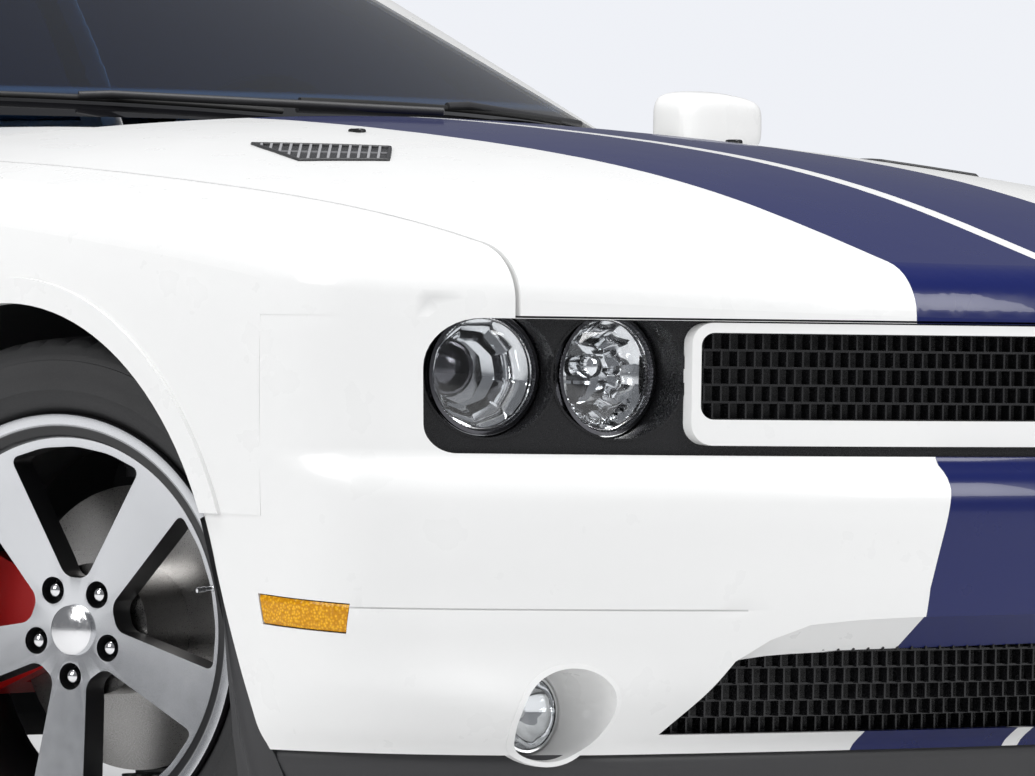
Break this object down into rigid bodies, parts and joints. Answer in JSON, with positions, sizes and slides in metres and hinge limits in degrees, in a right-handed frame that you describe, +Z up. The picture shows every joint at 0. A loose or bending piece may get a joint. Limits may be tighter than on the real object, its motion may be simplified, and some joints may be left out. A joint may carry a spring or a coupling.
{
  "type": "muscle car, two-door coupe",
  "caption": "Full-size two-door muscle coupe with opening doors, hood and trunk lid, steered front wheels and free-turning wheels.",
  "frame": {"origin": "on the ground below the middle of the car", "axes": "+X forward, +Y to the car's left, +Z up"},
  "size_m": [5.022, 2.21, 1.4502],
  "materials": {
    "body_paint": "gloss white with two blue stripes",
    "black_trim": "satin black moulding",
    "glass": "tinted clear glass",
    "lamp_metal": "bright reflector",
    "amber": "amber lens",
    "red_lens": "red lens",
    "interior_plastic": "grained",
    "seat_leather": "black leather",
    "steering_leather": "wrapped rim",
    "steel": "underside coating",
    "engine_metal": "plain block",
    "exhaust_steel": "stainless",
    "rim_alloy": "machined face with black pockets",
    "tyre_rubber": "sidewall and tread",
    "disc_iron": "machined"
  },
  "bodies": {
    "root": {"body_side_left": "body_paint", "body_side_right": "body_paint", "chin_spoiler": "black_trim", "cowl_panel": "black_trim", "dashboard": "interior_plastic", "engine": "engine_metal", "exhaust": "exhaust_steel", "fender_left": "body_paint", "fender_right": "body_paint", "floor_pan": "steel", "fog_lamps": "lamp_metal", "front_fascia": "body_paint", "front_seats": "seat_leather", "front_suspension": "steel", "grille_frame": "body_paint", "grille_inserts": "black_trim", "headlamps": "lamp_metal", "knuckle_rear_left": "steel", "knuckle_rear_right": "steel", "lamp_lenses": "glass", "lamp_panel": "black_trim", "quarter_glass": "glass", "rear_fascia": "body_paint", "rear_seat": "seat_leather", "rear_suspension": "steel", "rear_window": "glass", "roof_panel": "body_paint", "side_markers": "amber", "tail_lamps": "red_lens", "wheel_liners": "black_trim", "windscreen": "glass"},
    "hood": {"hood": "body_paint"},
    "deck_lid": {"deck_lid": "body_paint"},
    "door_left": {"door_left": "body_paint", "door_glass_left": "glass", "mirror_left": "body_paint"},
    "door_right": {"door_right": "body_paint", "door_glass_right": "glass", "mirror_right": "body_paint"},
    "steering_wheel": {"steering_wheel": "steering_leather"},
    "knuckle_left": {"knuckle_front_left": "steel"},
    "knuckle_right": {"knuckle_front_right": "steel"},
    "wheel_front_left": {"rim_front_left": "rim_alloy", "tyre_front_left": "tyre_rubber", "disc_front_left": "disc_iron"},
    "wheel_front_right": {"rim_front_right": "rim_alloy", "tyre_front_right": "tyre_rubber", "disc_front_right": "disc_iron"},
    "wheel_rear_left": {"rim_rear_left": "rim_alloy", "tyre_rear_left": "tyre_rubber", "disc_rear_left": "disc_iron"},
    "wheel_rear_right": {"rim_rear_right": "rim_alloy", "tyre_rear_right": "tyre_rubber", "disc_rear_right": "disc_iron"}
  },
  "joints": [
    {"name": "hood_hinge", "type": "hinge", "parent": "root", "child": "hood", "pos_m": [0.962, 0, 1.03], "axis": [0, -1, 0], "range_deg": [0, 50]},
    {"name": "deck_hinge", "type": "hinge", "parent": "root", "child": "deck_lid", "pos_m": [-1.625, 0, 1.1], "axis": [0, 1, 0], "range_deg": [0, 75]},
    {"name": "door_left_hinge", "type": "hinge", "parent": "root", "child": "door_left", "pos_m": [0.832, 0.958, 0.6], "axis": [0, 0, -1], "range_deg": [0, 65]},
    {"name": "door_right_hinge", "type": "hinge", "parent": "root", "child": "door_right", "pos_m": [0.832, -0.958, 0.6], "axis": [0, 0, 1], "range_deg": [0, 65]},
    {"name": "steer_left", "type": "hinge", "parent": "root", "child": "knuckle_left", "pos_m": [1.546, 0.73, 0.364], "axis": [0, 0, 1], "range_deg": [-50, 20]},
    {"name": "steer_right", "type": "hinge", "parent": "root", "child": "knuckle_right", "pos_m": [1.546, -0.73, 0.364], "axis": [0, 0, 1], "range_deg": [-50, 20]},
    {"name": "steering_column", "type": "hinge", "parent": "root", "child": "steering_wheel", "pos_m": [0.395, 0.37, 0.905], "axis": [-0.9135, 0, 0.4067], "range_deg": [-700, 280]},
    {"name": "spin_front_left", "type": "hinge", "parent": "knuckle_left", "child": "wheel_front_left", "pos_m": [1.52892, 0.79375, 0.364], "axis": [-0.2588, 0.9659, 0], "continuous": true},
    {"name": "spin_rear_left", "type": "hinge", "parent": "root", "child": "wheel_rear_left", "pos_m": [-1.4, 0.796, 0.364], "axis": [0, 1, 0], "continuous": true},
    {"name": "spin_front_right", "type": "hinge", "parent": "knuckle_right", "child": "wheel_front_right", "pos_m": [1.56308, -0.79375, 0.364], "axis": [-0.2588, 0.9659, 0], "continuous": true},
    {"name": "spin_rear_right", "type": "hinge", "parent": "root", "child": "wheel_rear_right", "pos_m": [-1.4, -0.796, 0.364], "axis": [0, 1, 0], "continuous": true}
  ],
  "couplings": [
    {"joint": "steer_right", "follows": "steer_left", "ratio": 1},
    {"joint": "steering_column", "follows": "steer_left", "ratio": 14}
  ]
}
